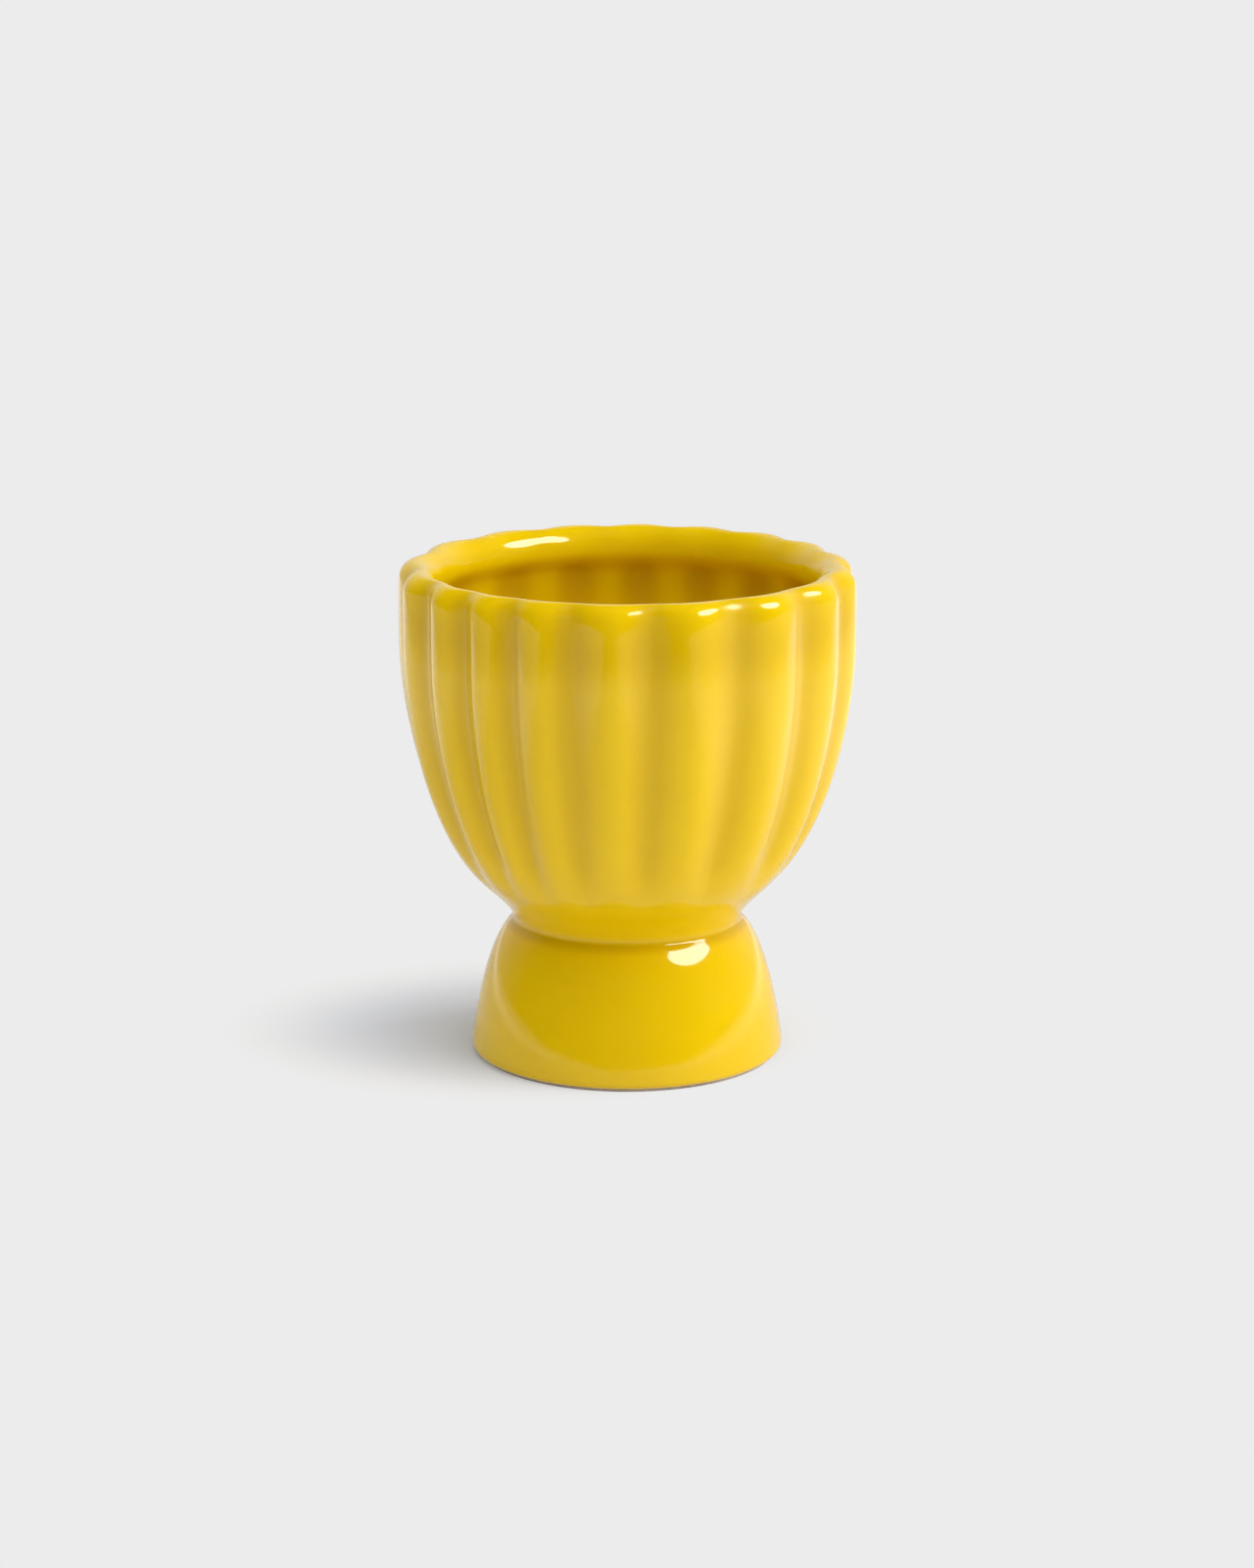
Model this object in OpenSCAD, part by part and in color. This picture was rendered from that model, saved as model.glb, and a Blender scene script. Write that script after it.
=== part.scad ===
// Egg cup: a fluted bowl luted to a flared, hollow foot that stands on a bare clay ring.
// Millimetres. +Z is up, the origin is the centre of the circle it stands on, and -Y is the front.

/* [Whole cup] */
// Height from the table to the crest of the rim
cup_h = 60; // [56:0.5:66]
// Height of the joint between the foot and the bowl
joint_z = 17; // [14:0.5:20]
// Radius of the waist, where the bowl meets the foot
neck_r = 13.9; // [12.5:0.1:15]

/* [Bowl] */
// Radius of the opening that the egg sits in, at the narrowest of the lip
opening_r = 22.5; // [20.5:0.1:24]
// Thickness of the rim, measured over a lobe
bowl_wall = 4.9; // [4.3:0.1:5.8]
// Thickness of the floor under the egg, over the joint
floor_t = 4; // [3:0.1:5.5]
// Height of the upright band between the belly and the rim
upright_h = 7.3; // [4:0.1:10]
// Height of the smooth collar over the waist
collar_h = 1.2; // [0.6:0.1:2]
// How far the collar leads out before the belly begins
collar_out = 2.05; // [1.5:0.05:2.4]
// How far the collar leads up before the belly begins
collar_up = 1.4; // [1.1:0.1:2]
// How far the belly's curve pulls down below the upright band
belly_drop = 6.8; // [5:0.1:12]

/* [Flutes] */
// Number of lobes round the bowl
lobes = 18; // [12:1:20]
// Depth of the valleys between the lobes at the top of the bowl
flute_depth = 1.4; // [0.6:0.05:1.6]
// Depth of the soft flutes that show inside the bowl
inner_flute = 0.6; // [0:0.05:0.8]
// Height above the joint at which the flutes begin
flute_start_h = 3; // [2:0.1:5]
// Height over which the flutes grow to their full depth
flute_grow_h = 9; // [6:0.1:12]

/* [Rim] */
// Height of the rounded rim on its outside
rim_h = 2.3; // [1.6:0.1:3]
// Height of the rim's rounded lip on its inside, down to its narrowest
lip_h = 3.2; // [2.4:0.1:4]
// How far the wall lies back under the lip
undercut = 1.2; // [0.4:0.1:1.4]
// Height over which the wall draws back under the lip
undercut_h = 2.8; // [2:0.1:3.6]
// How far the rim dips at each valley
rim_dip = 0.1; // [0:0.05:0.6]

/* [Foot] */
// Widest radius of the foot, just above the table
foot_r = 18.9; // [17.5:0.1:21]
// Thickness of the foot's wall
foot_wall = 3.4; // [3:0.1:4]
// How far the foot's side leans in along its lower half
foot_lean = 1.1; // [0.4:0.1:1.4]
// Height of the lower half's pull on the foot's side
foot_pull = 8; // [5:0.1:9.5]
// How far the foot's shoulder stands out from the waist
shoulder_out = 2.3; // [1.4:0.1:2.4]
// How far below the waist the foot's shoulder lies
shoulder_drop = 2.2; // [1.6:0.1:3]
// Radius of the small glazed edges at the waist
edge_r = 0.3; // [0.15:0.05:0.3]
// Radius of the glazed edges over the bare ring
foot_edge_r = 0.8; // [0.4:0.1:0.8]

/* [Joint and standing ring] */
// Thickness of the layer of slip that holds the bowl on the foot
slip_t = 0.3; // [0.2:0.05:0.5]
// How far the slip stays back from the waist and from the foot's bore
slip_inset = 0.5; // [0.4:0.05:1]
// Height of the bare ring that the cup stands on
ring_h = 0.35; // [0.3:0.05:0.9]
// How far the bare ring stays back from the foot's widest, and from its inside
ring_inset = 0.8; // [0.8:0.05:1]
// Size of the rubbed bevel along both edges of the bare ring
ring_bevel = 0.15; // [0.05:0.05:0.25]

/* [Hidden] */

glaze_colour = [0.90, 0.74, 0.06];
slip_colour = [0.80, 0.72, 0.58];
clay_colour = [0.62, 0.54, 0.42];

// Angle of the first valley, counted from +X, before the lobes drift
first_valley = -160.2;
// The lobes were set out by eye: how they drift once, twice and three times round the bowl.
// Each swing is [times round, most degrees of drift, direction of the most]
swings = [[1, 2.3, -149], [2, 4.1, 6], [3, 2, -43]];
// Facets round one lobe, from one valley to the next
lobe_steps = 8;
// How far the glaze fills the valleys: 1 leaves them sharp
valley_sharp_share = 0.93;
// The belly leaves the collar along the collar's own slope, this many times its length
belly_lead_share = 4.35;
// Where the crest of the rim stands, from the opening towards the outside
crest_share = 0.57;
// Where the inner wall turns in towards the floor, as shares of the opening and of the depth
haunch_r_share = 0.6;
haunch_z_share = 0.46;
// Steps along each curve of the outlines
collar_steps = 2;
belly_steps = 10;
rim_steps = 4;
undercut_steps = 3;
inner_steps = 8;
foot_steps = 13;
edge_steps = 3;
round_fn = 108;

bowl_r = opening_r + bowl_wall;
bowl_z = joint_z + slip_t / 2;
foot_top_z = joint_z - slip_t / 2;
seat_r = neck_r - edge_r;
bore_r = neck_r - foot_wall;
floor_z = bowl_z + floor_t;
rim_z = cup_h - rim_h;
lip_z = cup_h - lip_h;
inner_top_z = lip_z - undercut_h;
belly_top_z = rim_z - upright_h;
haunch_z = floor_z + (rim_z - floor_z) * haunch_z_share;
ring_points = lobes * lobe_steps;

// Curves, as points [radius, height]
function mix(a, b, t) = a + (b - a) * t;
function curve3(a, b, c, t) = mix(mix(a, b, t), mix(b, c, t), t);
function curve4(a, b, c, d, t) = mix(curve3(a, b, c, t), curve3(b, c, d, t), t);
function ease(t) = t * t * (3 - 2 * t);
function clamp01(t) = min(max(t, 0), 1);
function arc(centre, r, from, to, steps) =
    [for (i = [0 : steps]) let (a = mix(from, to, i / steps)) centre + r * [cos(a), sin(a)]];

// Side of the bowl over a lobe: a hollow collar, then the long belly up to the upright band
collar_foot = [neck_r, bowl_z + edge_r];
collar_turn = collar_foot + [0, collar_h];
belly_foot = collar_turn + [collar_out, collar_up];
belly_pull = belly_foot + [collar_out, collar_up] * belly_lead_share;
belly_top = [bowl_r, belly_top_z];
function collar(t) = curve3(collar_foot, collar_turn, belly_foot, t);
function belly(t) = curve4(belly_foot, belly_pull, belly_top - [0, belly_drop], belly_top, t);

// Depth of a valley at a point of the side: in proportion to the radius, and fading out low down
function flute_growth(z) = ease(clamp01((z - bowl_z - flute_start_h) / flute_grow_h));
function valley_depth(p) = flute_depth * p.x / bowl_r * flute_growth(p.y);

// A station is one level of the bowl: its point on a lobe, and its point in a valley
function outer_station(p) = [p, p - [valley_depth(p), 0]];

// Rim: from the outside up to the crest at 90 degrees, then down its taller lip on the inside
function crest_r(outer_r) = mix(opening_r, outer_r, crest_share);
function outer_rim(outer_r, a) = [mix(crest_r(outer_r), outer_r, cos(a)), cup_h - rim_h * (1 - sin(a))];
function inner_rim(outer_r, a) = [mix(crest_r(outer_r), opening_r, -cos(a)), cup_h - lip_h * (1 - sin(a))];
function rim_point(outer_r, a) = a < 90 ? outer_rim(outer_r, a) : inner_rim(outer_r, a);
function rim_station(a) =
    [rim_point(bowl_r, a), rim_point(bowl_r - flute_depth, a) - [0, rim_dip * sin(a)]];

// Inner wall: it draws back under the lip, then rounds to a flat floor, softly fluted in between
inner_r = opening_r + undercut;
function under_station(t) =
    let (p = [opening_r + undercut * ease(t), mix(lip_z, inner_top_z, t)]) [p + [inner_flute * ease(t), 0], p];
function inner_wall(t) =
    curve4([inner_r, inner_top_z], [inner_r, haunch_z], [opening_r * haunch_r_share, floor_z], [0, floor_z], t);
function inner_station(t) = let (p = inner_wall(t)) [p + [inner_flute * pow(1 - t, 2), 0], p];

function stations() = concat(
    [for (p = arc([seat_r, bowl_z + edge_r], edge_r, -90, 0, edge_steps)) [p, p]],
    [for (i = [1 : collar_steps]) outer_station(collar(i / collar_steps))],
    [for (i = [1 : belly_steps]) outer_station(belly(i / belly_steps))],
    [for (i = [0 : 2 * rim_steps]) rim_station(90 * i / rim_steps)],
    [for (i = [1 : undercut_steps]) under_station(i / undercut_steps)],
    [for (i = [1 : inner_steps - 1]) inner_station(i / inner_steps)]
);

// Height of a lobe above its valley, from 0 in the valley to 1 on the crest
valley_floor_share = sqrt(1 - valley_sharp_share);
function lobe_share(i) = let (c = cos(180 * i / lobe_steps))
    (sqrt(1 - valley_sharp_share * c * c) - valley_floor_share) / (1 - valley_floor_share);

// Angle of a point after the lobes have drifted
function swing(a, s) = s[1] * cos(s[0] * (a - s[2]));
function drifted(a) = a + swing(a, swings[0]) + swing(a, swings[1]) + swing(a, swings[2]);

function ring(station) = [
    for (i = [0 : ring_points - 1])
    let (p = mix(station[1], station[0], lobe_share(i)), a = drifted(first_valley + 360 * i / ring_points))
    [p.x * cos(a), p.x * sin(a), p.y]
];

module bowl() {
    levels = stations();
    last = (len(levels) - 1) * ring_points;
    underside = len(levels) * ring_points;
    points = concat(
        [for (station = levels) each ring(station)],
        [[0, 0, bowl_z], [0, 0, floor_z]]
    );
    wall_faces = [
        for (k = [0 : len(levels) - 2])
        for (i = [0 : ring_points - 1])
        let (low = k * ring_points, high = low + ring_points, j = (i + 1) % ring_points)
        each [[low + i, high + i, high + j], [low + i, high + j, low + j]]
    ];
    underside_faces = [for (i = [0 : ring_points - 1]) [underside, i, (i + 1) % ring_points]];
    floor_faces = [for (i = [0 : ring_points - 1]) [underside + 1, last + (i + 1) % ring_points, last + i]];
    color(glaze_colour)
    polyhedron(points, concat(wall_faces, underside_faces, floor_faces), convexity = 6);
}

// Side of the foot: nearly upright at the table, then over a soft shoulder into the waist
foot_base = [foot_r, ring_h + foot_edge_r];
foot_waist = [neck_r, foot_top_z - edge_r];
function foot_side(t) = curve4(
    foot_base,
    foot_base + [-foot_lean, foot_pull],
    foot_waist + [shoulder_out, -shoulder_drop],
    foot_waist,
    t
);

module foot() {
    outside = [for (i = [1 : foot_steps - 1]) foot_side(i / foot_steps)];
    inside = [for (i = [foot_steps - 1 : -1 : 1]) foot_side(i / foot_steps) - [foot_wall, 0]];
    color(glaze_colour)
    rotate_extrude($fn = round_fn)
    polygon(concat(
        arc(foot_base - [foot_edge_r, 0], foot_edge_r, -90, 0, edge_steps),
        outside,
        arc(foot_waist - [edge_r, 0], edge_r, 0, 90, edge_steps),
        [[bore_r, foot_top_z]],
        inside,
        arc(foot_base + [foot_edge_r - foot_wall, 0], foot_edge_r, 180, 270, edge_steps)
    ));
}

// Ring of slip between the foot's top and the bowl's underside
module slip_joint() {
    color(slip_colour)
    translate([0, 0, foot_top_z])
    linear_extrude(slip_t)
    difference() {
        circle(neck_r - slip_inset, $fn = round_fn);
        circle(bore_r + slip_inset, $fn = round_fn);
    }
}

// Bare ring under the foot, with both of its lower edges rubbed down
module foot_ring() {
    outer_r = foot_r - ring_inset;
    inner_r = foot_r - foot_wall + ring_inset;
    color(clay_colour)
    rotate_extrude($fn = round_fn)
    polygon([
        [inner_r, ring_h],
        [inner_r, ring_bevel],
        [inner_r + ring_bevel, 0],
        [outer_r - ring_bevel, 0],
        [outer_r, ring_bevel],
        [outer_r, ring_h]
    ]);
}

bowl();
slip_joint();
foot();
foot_ring();
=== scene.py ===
import math

import bmesh
import bpy
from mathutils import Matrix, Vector


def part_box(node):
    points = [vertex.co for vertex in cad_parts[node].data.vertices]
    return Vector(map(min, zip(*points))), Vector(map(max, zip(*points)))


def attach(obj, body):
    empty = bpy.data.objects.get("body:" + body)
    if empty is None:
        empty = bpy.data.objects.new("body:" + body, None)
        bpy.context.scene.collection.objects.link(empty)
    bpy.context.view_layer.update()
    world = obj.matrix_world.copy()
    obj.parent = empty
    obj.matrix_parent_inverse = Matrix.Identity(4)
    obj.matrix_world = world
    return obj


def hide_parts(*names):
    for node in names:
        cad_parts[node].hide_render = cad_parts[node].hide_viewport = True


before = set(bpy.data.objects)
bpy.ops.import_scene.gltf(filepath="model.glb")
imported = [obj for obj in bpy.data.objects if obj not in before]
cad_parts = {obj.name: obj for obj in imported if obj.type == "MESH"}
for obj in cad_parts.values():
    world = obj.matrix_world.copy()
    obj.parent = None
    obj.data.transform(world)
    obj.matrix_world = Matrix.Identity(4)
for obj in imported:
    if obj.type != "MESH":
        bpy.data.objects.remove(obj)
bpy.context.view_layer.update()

# The egg cup's looks: a fluted bowl and a flared foot under a glossy yellow glaze, on a bare clay ring.
MM = 0.001

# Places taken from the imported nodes
BOWL_LOW, BOWL_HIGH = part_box("bowl")
FOOT_LOW, FOOT_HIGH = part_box("foot")
BOWL_Z = BOWL_LOW[2]
CUP_H = BOWL_HIGH[2]
FOOT_Z = FOOT_LOW[2]
FOOT_TOP_Z = FOOT_HIGH[2]
FOOT_R = FOOT_HIGH[0]
WAIST_Z = (BOWL_Z + FOOT_TOP_Z) / 2
BOWL_R = max(Vector(v.co[:2]).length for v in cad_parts["bowl"].data.vertices)

# How far a finished mesh is rounded, and how close its seams have to be to close
ROUNDING = 2
SEAM = 0.002 * MM

# Waist and small edges
NECK_R = 13.9 * MM
EDGE_R = 0.3 * MM
EDGE_STEPS = 2

# Bowl: its collar over the waist, and its belly
COLLAR_H = 1.2 * MM
COLLAR_LEAD = (2.05 * MM, 1.4 * MM)
COLLAR_PULL = (0.1 * MM, 0.6 * MM)
COLLAR_STEPS = (0.35, 0.7, 1)
BELLY_LEAD = 4.35
BELLY_DROP = 6.8 * MM
BELLY_STEPS = 10
UPRIGHT_H = 7.3 * MM

# Rim: its height outside, how much lower it lies over a valley, and where its crest is
RIM_H = 2.3 * MM
RIM_Z = CUP_H - RIM_H
RIM_DIP = 0.1 * MM
RIM_STEPS = 8
CREST_SHARE = 0.57
BELLY_TOP_Z = RIM_Z - UPRIGHT_H

# Inside: the opening at the lip, the wall drawn back under it, and the hollow
OPENING_R = 22.5 * MM
LIP_H = 3.2 * MM
LIP_Z = CUP_H - LIP_H
UNDERCUT = 1.2 * MM
UNDERCUT_H = 2.8 * MM
UNDERCUT_STEPS = (0.25, 0.5, 0.75)
WALL_R = OPENING_R + UNDERCUT
WALL_TOP_Z = LIP_Z - UNDERCUT_H
HOLLOW_Z = BOWL_Z + 4 * MM
HAUNCH_SHARE = 0.46
BASIN_SHARE = 0.6
HOLLOW_STEPS = 10

# Underside of the bowl: its rings, as shares of the waist's radius
UNDERSIDE = (0.8, 0.4)

# Flutes: how many, how deep, where the first valley is, and how they drift from even spacing,
# as how often round, by how many degrees at most, and at how many degrees
LOBES = 18
LOBE_STEPS = 8
FLUTE_DEPTH = 1.4 * MM
INNER_FLUTE = 0.6 * MM
FLUTE_START_H = 3 * MM
FLUTE_GROW_H = 9 * MM
VALLEY_SHARP = 0.87
FIRST_VALLEY = -160.2
SWINGS = ((1, 2.3, -149), (2, 4.1, 6), (3, 2, -43))

# Levels from the crest of the rim over which the glaze turns into that of the inside, the same glaze
# coloured for the light inside the bowl as painted light
INSIDE_LEVELS = 5

# Foot
FOOT_EDGE_R = 0.8 * MM
FOOT_EDGE_STEPS = 3
FOOT_WALL = 3.4 * MM
FOOT_LEAN = 1.1 * MM
FOOT_PULL = 8 * MM
SHOULDER_OUT = 2.3 * MM
SHOULDER_DROP = 2.2 * MM
FOOT_STEPS = 12
FOOT_INSIDE_STEPS = 8
FOOT_POINTS = 72

# Glaze in the crease at the waist, as steps out from the waist's radius and up from the joint
WAIST_GLAZE_FACE = ((0.09 * MM, -0.55 * MM), (-0.28 * MM, -0.12 * MM), (0.03 * MM, 0.5 * MM))
WAIST_GLAZE_BACK = ((-0.45 * MM, 0.3 * MM), (-0.45 * MM, -0.3 * MM))
WAIST_GLAZE_STEPS = 6

# Colours of the glaze: where it is thin, where it is deep, inside the bowl (the same glaze coloured for the
# light there, as painted light), where it pooled and where shade is painted, and its specks
GLAZE_THIN = (0.88, 0.59, 0.002)
GLAZE_DEEP = (0.78, 0.485, 0.001)
GLAZE_INSIDE = (0.83, 0.585, 0.001)
GLAZE_POOL = (0.60, 0.36, 0.001)
GLAZE_SPECK = (0.55, 0.30, 0.01)

# Patterns in the glaze: how many go into a metre, how many times finer they go, and how strongly
CLOUDS = (85, 3, 0.5)
SMALL_CLOUDS = (420, 3, 0.5)
SPECKS = (1900, 1, 0.5)
GLOSS_CLOUDS = (260, 4, 0.5)
WAVES = (150, 1, 0.5)
RIPPLES = (900, 2, 0.5)

# From where to where in its pattern, or in what pooled in the valleys, each of these sets in
SPECKS_SET_IN = (0.74, 0.8)
DULL_SETS_IN = (0.3, 0.7)
VALLEYS_SET_IN = (0.1, 0.95)
VALLEYS_DULL_IN = (0.3, 0.9)

# Heights at which the glaze changes: round the waist, where it is deeper and partly painted shade, over the
# crest, and where shade is painted in the crease, under the lip and under the rim
WAIST_REACH = 2.6 * MM
CREST_REACH = 1.2 * MM
CREASE_Z = WAIST_Z - 0.5 * MM
CREASE_REACH = 1.1 * MM
UNDER_LIP_Z = CUP_H - 4.7 * MM
UNDER_LIP_REACH = 1.9 * MM
UNDER_RIM_Z = CUP_H - 5.5 * MM
UNDER_RIM_REACH = 5 * MM

# How much each thing deepens the glaze, the waist and valleys partly as painted shade; how much each
# darkens it towards the pooled colour, as painted shade in the crease, under the lip and under the rim and
# partly in the valleys and inner streaks; and how strongly the specks show
DEPTHS = {"clouds": 0.45, "small_clouds": 0.2, "valleys": 0.3, "waist": 0.2, "crest": -0.3}
POOLS = {"crease": 0.7, "under_lip": 0.2, "under_rim": 0.3, "valleys": 0.38, "streaks": 0.3}
SPECKING = 0.18

# Surface of the glaze: how rough it is at its glossiest and dullest, how much rougher in the valleys,
# how high its waves and ripples are, and how strongly it mirrors
GLOSS = (0.05, 0.095)
VALLEY_DULLING = 0.15
WAVE_H = 0.035 * MM
RIPPLE_H = 0.002 * MM
GLAZE_IOR = 1.41

# Colours of the bare clay and of the fired slip, as body, grain and stain
CLAY = ((0.50, 0.43, 0.34), (0.62, 0.55, 0.45), (0.33, 0.27, 0.21))
SLIP = ((0.60, 0.50, 0.36), (0.70, 0.62, 0.48), (0.45, 0.36, 0.25))

# Patterns in the clay, and from where to where in them each of these sets in
SAND = (2600, 2, 0.6)
PORES = (1500, 3, 0.7)
STAINS = (160, 4, 0.5)
GRAIN_SETS_IN = (0.5, 0.72)
ROUGH_SETS_IN = (0.3, 0.7)
PORES_SET_IN = (0.25, 0.5)
STAINS_SET_IN = (0.35, 0.7)

# Surface of the clay: how strongly stains and grain show, how rough and shiny it is, and its relief
STAINING = 0.7
GRAININESS = 0.8
CLAY_ROUGHNESS = (0.82, 0.98)
CLAY_SPECULAR = 0.25
RELIEF = {"sand": 0.4, "pores": 0.6}
RELIEF_H = 0.05 * MM

# Camera, fitted to the outline of the cup in the photograph
CAMERA_Y = -482.65 * MM
CAMERA_Z = 152.42 * MM
CAMERA_DOWN = 13.91
CAMERA_LENS = 95.1
CAMERA_SENSOR = 36

# Softbox high on the right, which makes the highlights in the glaze
AIM = Vector((0, 0, 0.03))
SOFTBOX_FROM = Vector((0.69, -0.21, 0.69))
SOFTBOX_AWAY = 1.5
SOFTBOX_SIZE = (1.05, 0.72)
SOFTBOX_POWER = 31

# Lamps that don't show in the glaze: degrees round from the right, degrees up, and share of the power
LAMP_AWAY = 1.5
LAMP_SIZE = 1.3
LAMP_POWER = 22.2
LAMPS = {
    "right_lamp": (0, 12, 0.86),
    "front_right_lamp": (315, 12, 0.19),
    "front_lamp": (270, 12, 0.23),
    "front_left_lamp": (225, 12, 0.11),
    "left_lamp": (180, 12, 0.08),
    "left_back_lamp": (135, 32, 0.22),
    "high_lamp": (315, 62, 0.26),
    "overhead_lamp": (0, 90, 0.45),
}

# Room: the light of the pale wall behind, and how it fades out round to the front and upwards
ROOM_BACK = 0.68
ROOM_TURN = (-0.05, 0.95)
ROOM_FADE = (0.45, 0.85)

# Floor: its front edge, its paper, and the paper's colour where it takes the cup's shadow, painted darker
# and bluer there as painted shade that also offsets the yellow light the cup throws on it
FLOOR_SIZE = 8
FLOOR_FRONT_Y = -340 * MM
PAPER = (0.84, 0.84, 0.84)
PAPER_ROUGHNESS = 0.9
PAPER_SPECULAR = 0.1
SHADOW_COLOUR = (0.725, 0.785, 0.92)
SHADOW_CENTRE = (-12.8 * MM, 8.1 * MM, 0)
SHADOW_REACH = (39.7 * MM, 31.5 * MM)

# Floor as mirrored in the glaze, a painted reflection that only glossy rays see: the pool of light painted
# on it, how it fades out at its edge, how much dimmer it is in the middle, and how much brighter it grows
# from one place across to another
POOL_CENTRE = (0, 170 * MM, 0)
POOL_REACH = (272 * MM, 430 * MM)
POOL_FADE = (0.84, 1.09)
POOL_DIM = 0.16
POOL_SIDES = ((-70 * MM, -140 * MM, 0.9), (40 * MM, 120 * MM, 0.9))


def mix(a, b, t):
    return a + (b - a) * t


def mix_point(p, q, t):
    return (mix(p[0], q[0], t), mix(p[1], q[1], t))


def step_from(point, step):
    return (point[0] + step[0], point[1] + step[1])


def curve(points, t):
    """Point at t of the curve that these points pull, as [radius, height]."""
    while len(points) > 1:
        points = [mix_point(p, q, t) for p, q in zip(points, points[1:])]
    return points[0]


def ease(t):
    t = min(max(t, 0), 1)
    return t * t * (3 - 2 * t)


def arc(centre, radius, start, end, steps):
    """Points round part of a circle, from start to end in degrees."""
    angles = [math.radians(mix(start, end, i / steps)) for i in range(steps + 1)]
    return [(centre[0] + radius * math.cos(a), centre[1] + radius * math.sin(a)) for a in angles]


# Modelling by rings

def start_ring(name, point, count):
    """A circle in edit mode, the first ring of a new piece."""
    bpy.ops.object.select_all(action="DESELECT")
    bpy.ops.mesh.primitive_circle_add(vertices=count, radius=point[0])
    piece = bpy.context.object
    piece.name = name
    piece.data.name = name
    bpy.ops.object.mode_set(mode="EDIT")
    bpy.ops.mesh.select_all(action="SELECT")
    bpy.ops.transform.translate(value=(0, 0, point[1]))
    return piece


def move_ring(old, new):
    """Takes the selected vertices from one radius and height to another."""
    ratio = new[0] / old[0]
    bpy.ops.transform.resize(value=(ratio, ratio, 1), center_override=(0, 0, 0))
    bpy.ops.transform.translate(value=(0, 0, new[1] - old[1]))


def pull_rings(points):
    """Extrudes the selected ring along the points, starting from the first."""
    for old, new in zip(points, points[1:]):
        bpy.ops.mesh.extrude_edges_move()
        move_ring(old, new)


def close_middle():
    """Closes the selected ring to a point on the axis."""
    bpy.ops.mesh.extrude_edges_move()
    bpy.ops.mesh.merge(type="CENTER")


def finish_piece(piece, *nodes):
    """Merges seams, turns the faces outwards, rounds the mesh and lets it ride on the cup."""
    bpy.ops.mesh.select_all(action="SELECT")
    bpy.ops.mesh.remove_doubles(threshold=SEAM)
    bpy.ops.mesh.normals_make_consistent(inside=False)
    bpy.ops.object.mode_set(mode="OBJECT")
    rounding = piece.modifiers.new("rounding", "SUBSURF")
    rounding.levels = ROUNDING
    rounding.render_levels = ROUNDING
    bpy.ops.object.modifier_apply(modifier=rounding.name)
    bpy.ops.object.shade_smooth()
    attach(piece, "root")
    if nodes:
        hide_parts(*nodes)


# Bowl: each level has a point on a lobe and a point in a valley, as radius and height

def lobe_share(step):
    """Height of a lobe above its valleys, from 0 in a valley to 1 on the crest."""
    c = math.cos(math.pi * step / LOBE_STEPS)
    lowest = math.sqrt(1 - VALLEY_SHARP)
    return (math.sqrt(1 - VALLEY_SHARP * c * c) - lowest) / (1 - lowest)


def outer_station(point):
    """A level of the outside, whose flutes deepen as they rise from the collar."""
    growth = ease((point[1] - BOWL_Z - FLUTE_START_H) / FLUTE_GROW_H)
    depth = FLUTE_DEPTH * point[0] / BOWL_R * growth
    return point, (point[0] - depth, point[1])


def outside_stations():
    """Levels from the joint up over the collar and the belly to the rim."""
    collar_foot = (NECK_R, BOWL_Z + EDGE_R)
    belly_foot = step_from((NECK_R, collar_foot[1] + COLLAR_H), COLLAR_LEAD)
    belly_pull = step_from(belly_foot, [BELLY_LEAD * lead for lead in COLLAR_LEAD])
    collar = [collar_foot, step_from(collar_foot, COLLAR_PULL), belly_foot]
    belly = [belly_foot, belly_pull, (BOWL_R, BELLY_TOP_Z - BELLY_DROP), (BOWL_R, BELLY_TOP_Z)]
    edge = arc((NECK_R - EDGE_R, BOWL_Z + EDGE_R), EDGE_R, -90, 0, EDGE_STEPS)
    stations = [(point, point) for point in edge]
    stations += [outer_station(curve(collar, t)) for t in COLLAR_STEPS]
    stations += [outer_station(curve(belly, i / BELLY_STEPS)) for i in range(1, BELLY_STEPS + 1)]
    stations.append(outer_station((BOWL_R, mix(BELLY_TOP_Z, RIM_Z, 0.5))))
    return stations


def rim_point(outer_r, angle):
    """A point of the rim, from 0 outside over the crest to 180 degrees at the narrowest of the lip."""
    crest = mix(OPENING_R, outer_r, CREST_SHARE)
    out, up = math.cos(math.radians(angle)), math.sin(math.radians(angle))
    if angle < 90:
        return mix(crest, outer_r, out), CUP_H - RIM_H * (1 - up)
    return mix(crest, OPENING_R, -out), CUP_H - LIP_H * (1 - up)


def rim_station(angle):
    """A level of the rim, which is scalloped outside and a circle inside."""
    valley = rim_point(BOWL_R - FLUTE_DEPTH, angle)
    dip = RIM_DIP * math.sin(math.radians(angle))
    return rim_point(BOWL_R, angle), (valley[0], valley[1] - dip)


def inner_station(point, flute):
    """A level of the inside, which is fluted where the outside is."""
    return (point[0] + flute, point[1]), point


def inside_stations():
    """Levels from under the lip down to the floor of the hollow, where the flutes run out."""
    stations = []
    for t in UNDERCUT_STEPS:
        under = (OPENING_R + UNDERCUT * ease(t), mix(LIP_Z, WALL_TOP_Z, t))
        stations.append(inner_station(under, INNER_FLUTE * ease(t)))
    haunch = (WALL_R, mix(HOLLOW_Z, RIM_Z, HAUNCH_SHARE))
    basin = (OPENING_R * BASIN_SHARE, HOLLOW_Z)
    hollow = [(WALL_R, WALL_TOP_Z), haunch, basin, (0, HOLLOW_Z)]
    for i in range(HOLLOW_STEPS):
        t = i / HOLLOW_STEPS
        stations.append(inner_station(curve(hollow, t), INNER_FLUTE * (1 - t) ** 2))
    return stations


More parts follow.
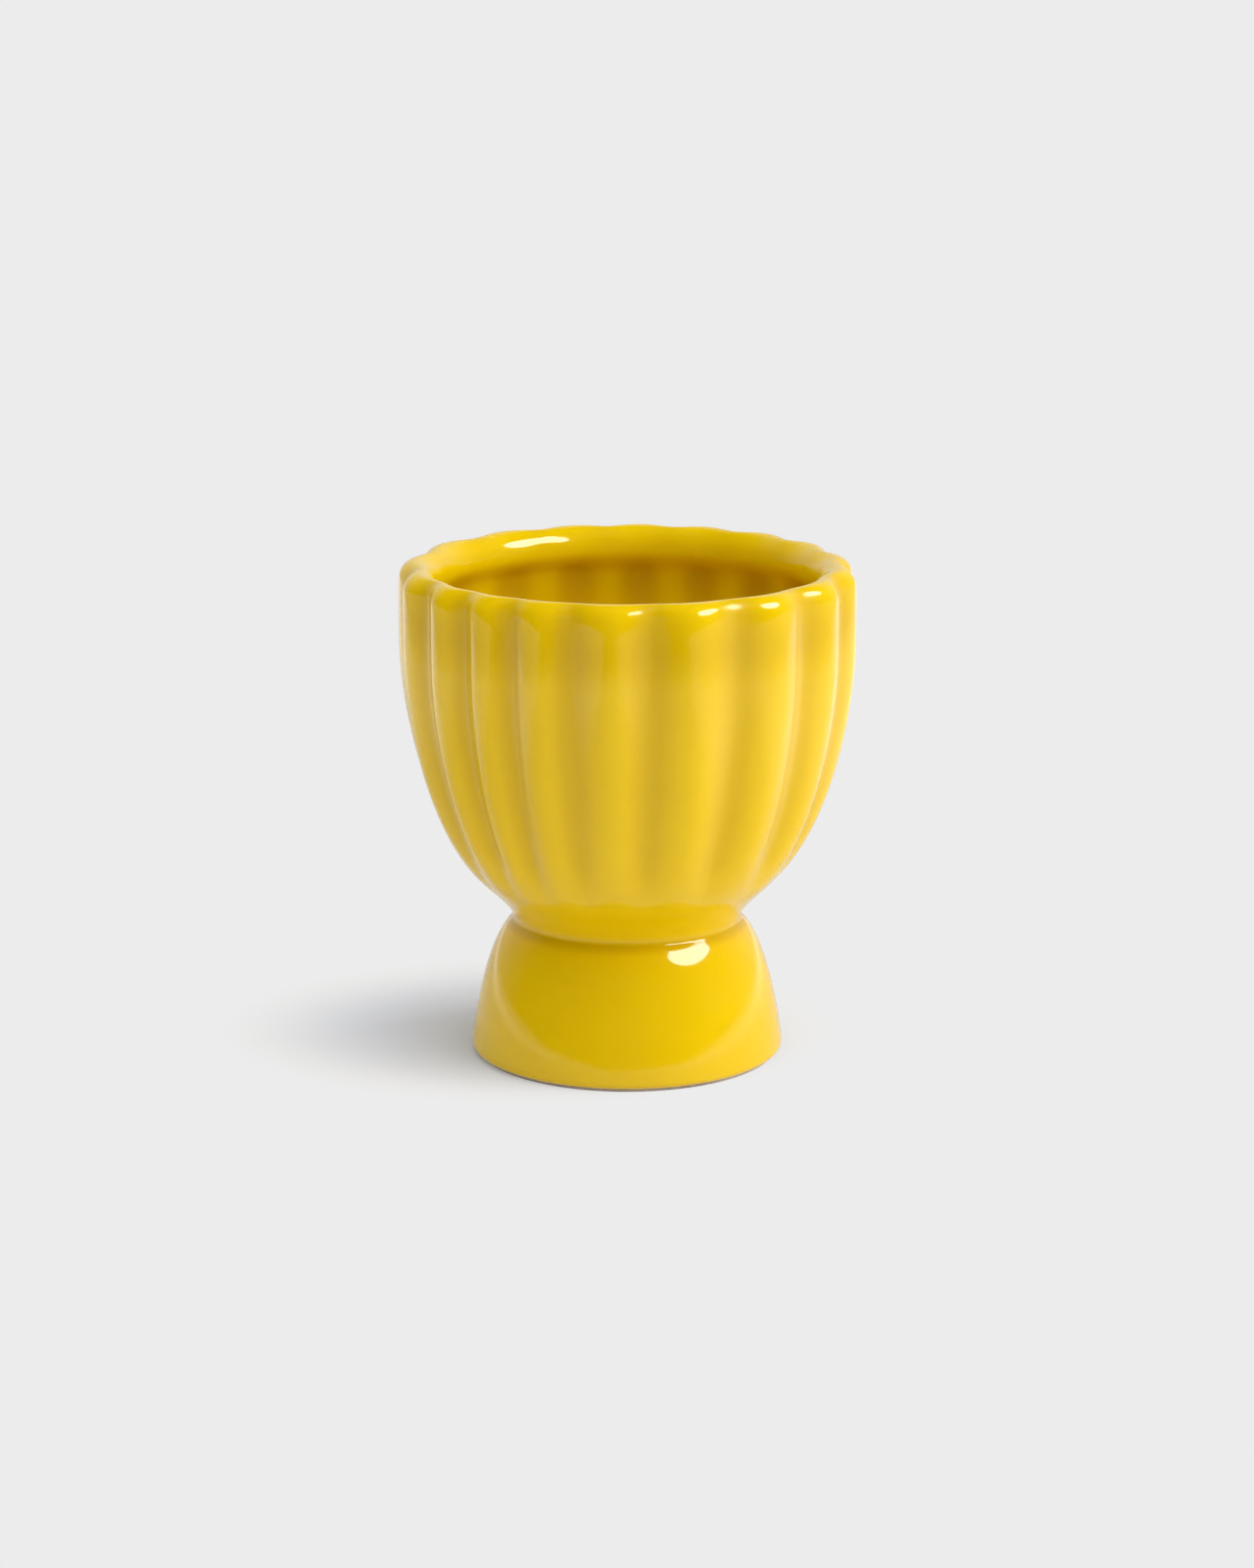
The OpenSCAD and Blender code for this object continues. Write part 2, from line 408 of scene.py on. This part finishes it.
def drift(angle):
    """How far the lobes have drifted there from even spacing, in degrees."""
    return sum(most * math.cos(math.radians(times * (angle - at))) for times, most, at in SWINGS)


def pick(mesh, wanted):
    """Selects the vertices for which wanted(level, flute step, number in the ring) is true."""
    bm = bmesh.from_edit_mesh(mesh)
    marks = [bm.verts.layers.int[name] for name in ("level", "flute_step", "ring_number")]
    for v in bm.verts:
        v.select_set(wanted(*[v[mark] for mark in marks]))
    bm.select_flush(True)
    bmesh.update_edit_mesh(mesh)


def mark_first_ring(mesh):
    """Numbers the first ring and counts each vertex's steps from the nearest valley."""
    count = LOBES * LOBE_STEPS
    bm = bmesh.from_edit_mesh(mesh)
    for name in ("level", "flute_step", "ring_number"):
        bm.verts.layers.int.new(name)
    for name in ("pooled", "inside"):
        bm.verts.layers.float.new(name)
    step_mark, number_mark = bm.verts.layers.int["flute_step"], bm.verts.layers.int["ring_number"]
    for v in bm.verts:
        number = round(math.atan2(v.co.y, v.co.x) / math.tau * count) % count
        step = number % LOBE_STEPS
        v[step_mark] = min(step, LOBE_STEPS - step)
        v[number_mark] = number
    bmesh.update_edit_mesh(mesh)


def spread_lobes(mesh):
    """Turns each vertex of the first ring to where the drift takes it."""
    count = LOBES * LOBE_STEPS
    for number in range(count):
        turn = FIRST_VALLEY + drift(FIRST_VALLEY + 360 * number / count)
        pick(mesh, lambda level, step, n: n == number)
        bpy.ops.transform.rotate(value=-math.radians(turn), orient_axis="Z", center_override=(0, 0, 0))


def mark_level(mesh, level, pooled, inside):
    """Marks the ring just extruded: the glaze in its valleys and on its lobes, and how far inside it is."""
    bm = bmesh.from_edit_mesh(mesh)
    level_mark, step_mark = bm.verts.layers.int["level"], bm.verts.layers.int["flute_step"]
    pooled_mark, inside_mark = bm.verts.layers.float["pooled"], bm.verts.layers.float["inside"]
    in_valley, on_lobe = pooled
    for v in bm.verts:
        if v.select:
            v[level_mark] = level
            v[pooled_mark] = mix(in_valley, on_lobe, lobe_share(v[step_mark]))
            v[inside_mark] = inside
    bmesh.update_edit_mesh(mesh)


def make_bowl():
    rim = [rim_station(180 * i / RIM_STEPS) for i in range(RIM_STEPS + 1)]
    stations = [*outside_stations(), *rim, *inside_stations()]
    crest_level = max(range(len(stations)), key=lambda i: stations[i][0][1])
    first = stations[0][0]
    bowl = start_ring("bowl_glazed", first, LOBES * LOBE_STEPS)
    mesh = bowl.data
    mark_first_ring(mesh)
    spread_lobes(mesh)
    bpy.ops.mesh.select_all(action="SELECT")
    places = [first] * (LOBE_STEPS // 2 + 1)
    for level, (lobe, valley) in enumerate(stations[1:], start=1):
        bpy.ops.mesh.extrude_edges_move()
        inside = ease((level - crest_level) / INSIDE_LEVELS)
        fluted = lobe[0] - valley[0]
        pooled = (0, fluted / INNER_FLUTE) if inside == 1 else (fluted / FLUTE_DEPTH, 0)
        mark_level(mesh, level, pooled, inside)
        for step, old in enumerate(places):
            places[step] = mix_point(valley, lobe, lobe_share(step))
            pick(mesh, lambda at_level, at_step, n: at_level == level and at_step == step)
            move_ring(old, places[step])
        pick(mesh, lambda at_level, at_step, n: at_level == level)
    close_middle()
    pick(mesh, lambda level, step, n: level == 0)
    pull_rings([first, *[(NECK_R * share, BOWL_Z) for share in UNDERSIDE]])
    close_middle()
    finish_piece(bowl, "bowl")
    return bowl


# Foot

def foot_side(t):
    """A point of the foot's side, from 0 at its base to 1 at the waist."""
    base = (FOOT_R, FOOT_Z + FOOT_EDGE_R)
    waist = (NECK_R, FOOT_TOP_Z - EDGE_R)
    pull = step_from(base, (-FOOT_LEAN, FOOT_PULL))
    shoulder = step_from(waist, (SHOULDER_OUT, -SHOULDER_DROP))
    return curve([base, pull, shoulder, waist], t)


def foot_inside(t):
    return step_from(foot_side(t), (-FOOT_WALL, 0))


def make_foot():
    base = foot_side(0)
    waist = foot_side(1)
    points = arc((base[0] - FOOT_EDGE_R, base[1]), FOOT_EDGE_R, -90, 0, FOOT_EDGE_STEPS)
    points += [foot_side(i / FOOT_STEPS) for i in range(1, FOOT_STEPS)]
    points += arc((waist[0] - EDGE_R, waist[1]), EDGE_R, 0, 90, EDGE_STEPS)
    points += [(NECK_R - FOOT_WALL + EDGE_R, FOOT_TOP_Z), (NECK_R - FOOT_WALL, FOOT_TOP_Z)]
    points += [foot_inside(i / FOOT_INSIDE_STEPS) for i in range(FOOT_INSIDE_STEPS - 1, 0, -1)]
    points += arc((base[0] - FOOT_WALL + FOOT_EDGE_R, base[1]), FOOT_EDGE_R, 180, 270, EDGE_STEPS)
    points += [mix_point(points[-1], points[0], 0.5), points[0]]
    foot = start_ring("foot_glazed", points[0], FOOT_POINTS)
    pull_rings(points)
    finish_piece(foot, "foot")
    return foot


def make_waist_glaze():
    """The glaze that pooled in the crease between the foot and the bowl."""
    crease = (NECK_R, WAIST_Z)
    face = [step_from(crease, step) for step in WAIST_GLAZE_FACE]
    points = [curve(face, i / WAIST_GLAZE_STEPS) for i in range(WAIST_GLAZE_STEPS + 1)]
    points += [step_from(crease, step) for step in WAIST_GLAZE_BACK]
    points.append(points[0])
    ring = start_ring("waist_glaze", points[0], FOOT_POINTS)
    pull_rings(points)
    finish_piece(ring)
    return ring


# Materials

def new_material(name):
    material = bpy.data.materials.new(name)
    material.use_nodes = True
    return material


def wear(piece, material):
    piece.data.materials.clear()
    piece.data.materials.append(material)


class Wiring:
    """Shader nodes under way. A step takes plain values or what nodes make, and returns what it makes."""

    def __init__(self, tree):
        self.nodes = tree.nodes
        self.link = tree.links.new

    def add(self, kind, **values):
        """A node with its settings, and its inputs by name."""
        node = self.nodes.new(kind)
        for key, value in values.items():
            if key in node.inputs:
                node.inputs[key].default_value = value
            else:
                setattr(node, key, value)
        return node

    def feed(self, sockets, sources):
        for socket, source in zip(sockets, sources):
            if isinstance(source, bpy.types.NodeSocket):
                self.link(source, socket)
            else:
                socket.default_value = source

    def math(self, operation, *sources):
        node = self.add("ShaderNodeMath", operation=operation)
        self.feed(node.inputs, sources)
        return node.outputs["Value"]

    def vector_math(self, operation, *sources):
        node = self.add("ShaderNodeVectorMath", operation=operation)
        self.feed(node.inputs, sources)
        return node.outputs["Value" if operation == "DOT_PRODUCT" else "Vector"]

    def part(self, vector, axis):
        """One of a vector's X, Y and Z."""
        node = self.add("ShaderNodeSeparateXYZ")
        self.link(vector, node.inputs[0])
        return node.outputs[axis]

    def ramp(self, value, start, end, low=0.0, high=1.0):
        """Takes a value smoothly from low at start to high at end."""
        node = self.add("ShaderNodeMapRange", interpolation_type="SMOOTHSTEP")
        sockets = [node.inputs[name] for name in ("Value", "From Min", "From Max", "To Min", "To Max")]
        self.feed(sockets, (value, start, end, low, high))
        return node.outputs["Result"]

    def near(self, value, centre, reach):
        """1 where a value is at the centre, and 0 from the reach on."""
        return self.ramp(self.math("ABSOLUTE", self.math("SUBTRACT", value, centre)), reach, 0)

    def oval(self, place, centre, reach):
        """Squared distance across the floor from a centre, as a share of the reach each way."""
        offset = self.vector_math("SUBTRACT", place, centre)
        share = self.vector_math("MULTIPLY", offset, (1 / reach[0], 1 / reach[1], 0))
        return self.vector_math("DOT_PRODUCT", share, share)

    def total(self, weights, **sources):
        """Adds up what nodes make, each times its weight."""
        result = 0.0
        for name, source in sources.items():
            result = self.math("MULTIPLY_ADD", source, weights[name], result)
        return result

    def tint(self, amount, colour, other):
        """Goes from a colour to another one by an amount. Either may be a colour or what a node makes."""
        node = self.add("ShaderNodeMix", data_type="RGBA", clamp_factor=True)
        colours = [(*source, 1) if isinstance(source, tuple) else source for source in (colour, other)]
        self.feed((node.inputs[0], node.inputs[6], node.inputs[7]), (amount, *colours))
        return node.outputs[2]


class Finish(Wiring):
    """A material under way, with patterns that stay on the cup and a shader that takes what is made."""

    def __init__(self, name):
        self.material = new_material(name)
        super().__init__(self.material.node_tree)
        self.shader = self.nodes["Principled BSDF"]
        self.place = self.add("ShaderNodeTexCoord").outputs["Object"]

    def noise(self, pattern):
        """A cloudy pattern."""
        scale, detail, roughness = pattern
        node = self.add("ShaderNodeTexNoise", Scale=scale, Detail=detail, Roughness=roughness)
        self.link(self.place, node.inputs["Vector"])
        return node.outputs["Fac"]

    def marked(self, name):
        """What was marked on the bowl's vertices under a name."""
        return self.add("ShaderNodeAttribute", attribute_name=name).outputs["Fac"]

    def bump(self, height, distance, below=None):
        """Raises the surface by a pattern, over what is below it."""
        node = self.add("ShaderNodeBump", Distance=distance)
        self.link(height, node.inputs["Height"])
        if below:
            self.link(below, node.inputs["Normal"])
        return node.outputs["Normal"]

    def set(self, name, output):
        self.link(output, self.shader.inputs[name])


def yellow_glaze():
    """Opaque glossy glaze: thinner and paler on the lobes, deeper where it ran together, with painted shade
    in the crease, under the lip and under the rim and partly in the valleys and inner flutes, and the
    inside coloured for its light as painted light.
    """
    glaze = Finish("yellow_glaze")
    pooled, inside = glaze.marked("pooled"), glaze.marked("inside")
    height = glaze.part(glaze.place, "Z")
    depth = glaze.total(
        DEPTHS,
        clouds=glaze.noise(CLOUDS),
        small_clouds=glaze.noise(SMALL_CLOUDS),
        # Valleys: glaze deeper where it pooled, and partly painted shade
        valleys=pooled,
        # Waist: glaze deeper round it, and partly painted shade of the crease
        waist=glaze.near(height, WAIST_Z, WAIST_REACH),
        crest=glaze.ramp(height, CUP_H - CREST_REACH, CUP_H),
    )
    # How far the glaze darkens towards its pooled colour: painted shade, and partly pooled glaze
    pool = glaze.total(
        POOLS,
        # Painted shade in the crease just below the waist
        crease=glaze.near(height, CREASE_Z, CREASE_REACH),
        # Painted shade under the inner lip, inside the bowl only
        under_lip=glaze.math("MULTIPLY", inside, glaze.near(height, UNDER_LIP_Z, UNDER_LIP_REACH)),
        # Painted shade in a band under the rim, outside and inside
        under_rim=glaze.near(height, UNDER_RIM_Z, UNDER_RIM_REACH),
        # Valleys: pooled glaze, and partly painted shade
        valleys=glaze.ramp(pooled, *VALLEYS_SET_IN),
        # Inner flutes: glaze pooled in the inner grooves, and partly painted shade of the flutes
        streaks=glaze.math("MULTIPLY", inside, pooled),
    )
    # The inside takes the same glaze coloured for the light inside the bowl: painted light
    colour = glaze.tint(inside, glaze.tint(depth, GLAZE_THIN, GLAZE_DEEP), GLAZE_INSIDE)
    speck = glaze.ramp(glaze.noise(SPECKS), *SPECKS_SET_IN, 0, SPECKING)
    glaze.set("Base Color", glaze.tint(speck, glaze.tint(pool, colour, GLAZE_POOL), GLAZE_SPECK))
    gloss = glaze.ramp(glaze.noise(GLOSS_CLOUDS), *DULL_SETS_IN, *GLOSS)
    dulled = glaze.ramp(pooled, *VALLEYS_DULL_IN)
    glaze.set("Roughness", glaze.math("MULTIPLY_ADD", dulled, VALLEY_DULLING, gloss))
    waves = glaze.bump(glaze.noise(WAVES), WAVE_H)
    glaze.set("Normal", glaze.bump(glaze.noise(RIPPLES), RIPPLE_H, waves))
    glaze.shader.inputs["IOR"].default_value = GLAZE_IOR
    return glaze.material


def clay(name, body, grain, stain):
    """Unglazed fired clay: sandy grain, open pores and rubbed, uneven colour."""
    clay = Finish(name)
    sand = clay.noise(SAND)
    stained = clay.ramp(clay.noise(STAINS), *STAINS_SET_IN, 0, STAINING)
    grained = clay.ramp(sand, *GRAIN_SETS_IN, 0, GRAININESS)
    clay.set("Base Color", clay.tint(grained, clay.tint(stained, body, stain), grain))
    clay.set("Roughness", clay.ramp(sand, *ROUGH_SETS_IN, *CLAY_ROUGHNESS))
    pores = clay.ramp(clay.noise(PORES), *PORES_SET_IN)
    clay.set("Normal", clay.bump(clay.total(RELIEF, sand=sand, pores=pores), RELIEF_H))
    clay.shader.inputs["Specular IOR Level"].default_value = CLAY_SPECULAR
    return clay.material


# Floor, light and camera

def floor_paper():
    """Matt paper that takes the cup's shadow, its colour painted darker and bluer round the shadow as
    painted shade. Away from the cup it shows one even grey, and in the glaze it shows as a painted
    reflection, a pool of light.
    """
    material = new_material("floor_paper")
    paper = Wiring(material.node_tree)
    surface = paper.nodes["Principled BSDF"]
    surface.inputs["Roughness"].default_value = PAPER_ROUGHNESS
    surface.inputs["Specular IOR Level"].default_value = PAPER_SPECULAR
    place = paper.add("ShaderNodeNewGeometry").outputs["Position"]
    # Painted shade: the paper's colour turns darker and bluer round the cup's shadow
    away = paper.ramp(paper.oval(place, SHADOW_CENTRE, SHADOW_REACH), 0, 1)
    paper.link(paper.tint(away, SHADOW_COLOUR, PAPER), surface.inputs["Base Color"])

    rays = paper.add("ShaderNodeLightPath").outputs
    # Painted reflection: for glossy rays the floor glows, dimmer in the middle of the pool and brighter to
    # the sides
    changes = [paper.ramp(paper.oval(place, POOL_CENTRE, POOL_REACH), *POOL_FADE, -POOL_DIM, -1)]
    for start, end, extra in POOL_SIDES:
        changes.append(paper.ramp(paper.part(place, "X"), start, end, 0, extra))
    strength = 1
    for change in changes:
        strength = paper.math("MULTIPLY_ADD", change, rays["Is Glossy Ray"], strength)
    even = paper.add("ShaderNodeEmission", Color=(*PAPER, 1))
    paper.link(paper.math("MAXIMUM", strength, 0), even.inputs["Strength"])

    seen = paper.math("MAXIMUM", rays["Is Camera Ray"], rays["Is Glossy Ray"])
    seen = paper.math("MAXIMUM", seen, rays["Is Transmission Ray"])
    blend = paper.add("ShaderNodeMixShader")
    shaders = (paper.math("MULTIPLY", seen, away), surface.outputs["BSDF"], even.outputs["Emission"])
    paper.feed(blend.inputs, shaders)
    paper.link(blend.outputs["Shader"], paper.nodes["Material Output"].inputs["Surface"])
    return material


def make_floor():
    """A pale table with its front edge before the camera's view."""
    bpy.ops.object.select_all(action="DESELECT")
    bpy.ops.mesh.primitive_plane_add(size=FLOOR_SIZE, location=(0, FLOOR_FRONT_Y + FLOOR_SIZE / 2, 0))
    floor = bpy.context.object
    floor.name = "floor"
    wear(floor, floor_paper())


def hang_lamp(name, shape, size, power, direction, away):
    """An area lamp that is turned towards the cup."""
    light = bpy.data.lights.new(name, "AREA")
    light.shape = shape
    light.size, light.size_y = size
    light.energy = power
    lamp = bpy.data.objects.new(name, light)
    bpy.context.scene.collection.objects.link(lamp)
    lamp.location = AIM + direction.normalized() * away
    lamp.rotation_euler = direction.to_track_quat("Z", "Y").to_euler()
    return lamp


def make_lamps():
    softbox = hang_lamp("softbox", "ELLIPSE", SOFTBOX_SIZE, SOFTBOX_POWER, SOFTBOX_FROM, SOFTBOX_AWAY)
    softbox.visible_diffuse = False
    for name, (round_by, up, share) in LAMPS.items():
        turn, rise = math.radians(round_by), math.radians(up)
        flat = math.cos(rise)
        direction = Vector((flat * math.cos(turn), flat * math.sin(turn), math.sin(rise)))
        lamp = hang_lamp(name, "DISK", (LAMP_SIZE, LAMP_SIZE), LAMP_POWER * share, direction, LAMP_AWAY)
        lamp.visible_glossy = False


def make_room():
    """World light: a pale wall behind the cup, fading out upwards and round to the sides."""
    world = bpy.data.worlds.new("room")
    bpy.context.scene.world = world
    world.use_nodes = True
    room = Wiring(world.node_tree)
    direction = room.add("ShaderNodeTexCoord").outputs["Generated"]
    level = room.vector_math("NORMALIZE", room.vector_math("MULTIPLY", direction, (1, 1, 0)))
    behind = room.ramp(room.part(level, "Y"), *ROOM_TURN)
    low = room.ramp(room.part(direction, "Z"), *ROOM_FADE, ROOM_BACK, 0)
    seen = room.math("MULTIPLY", room.add("ShaderNodeLightPath").outputs["Is Camera Ray"], PAPER[0])
    background = room.nodes["Background"]
    background.inputs["Color"].default_value = (1, 1, 1, 1)
    shown = room.math("MAXIMUM", room.math("MULTIPLY", behind, low), seen)
    room.link(shown, background.inputs["Strength"])


def make_camera():
    lens = bpy.data.cameras.new("camera")
    lens.lens = CAMERA_LENS
    lens.sensor_width = CAMERA_SENSOR
    camera = bpy.data.objects.new("camera", lens)
    bpy.context.scene.collection.objects.link(camera)
    camera.location = (0, CAMERA_Y, CAMERA_Z)
    camera.rotation_euler = (math.radians(90 - CAMERA_DOWN), 0, 0)
    bpy.context.scene.camera = camera


make_camera()
make_floor()
make_lamps()
make_room()
glaze = yellow_glaze()
wear(make_bowl(), glaze)
wear(make_foot(), glaze)
wear(make_waist_glaze(), glaze)
wear(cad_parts["foot_ring"], clay("bare_clay", *CLAY))
wear(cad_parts["slip_joint"], clay("fired_slip", *SLIP))
bpy.context.scene.view_settings.view_transform = "Standard"
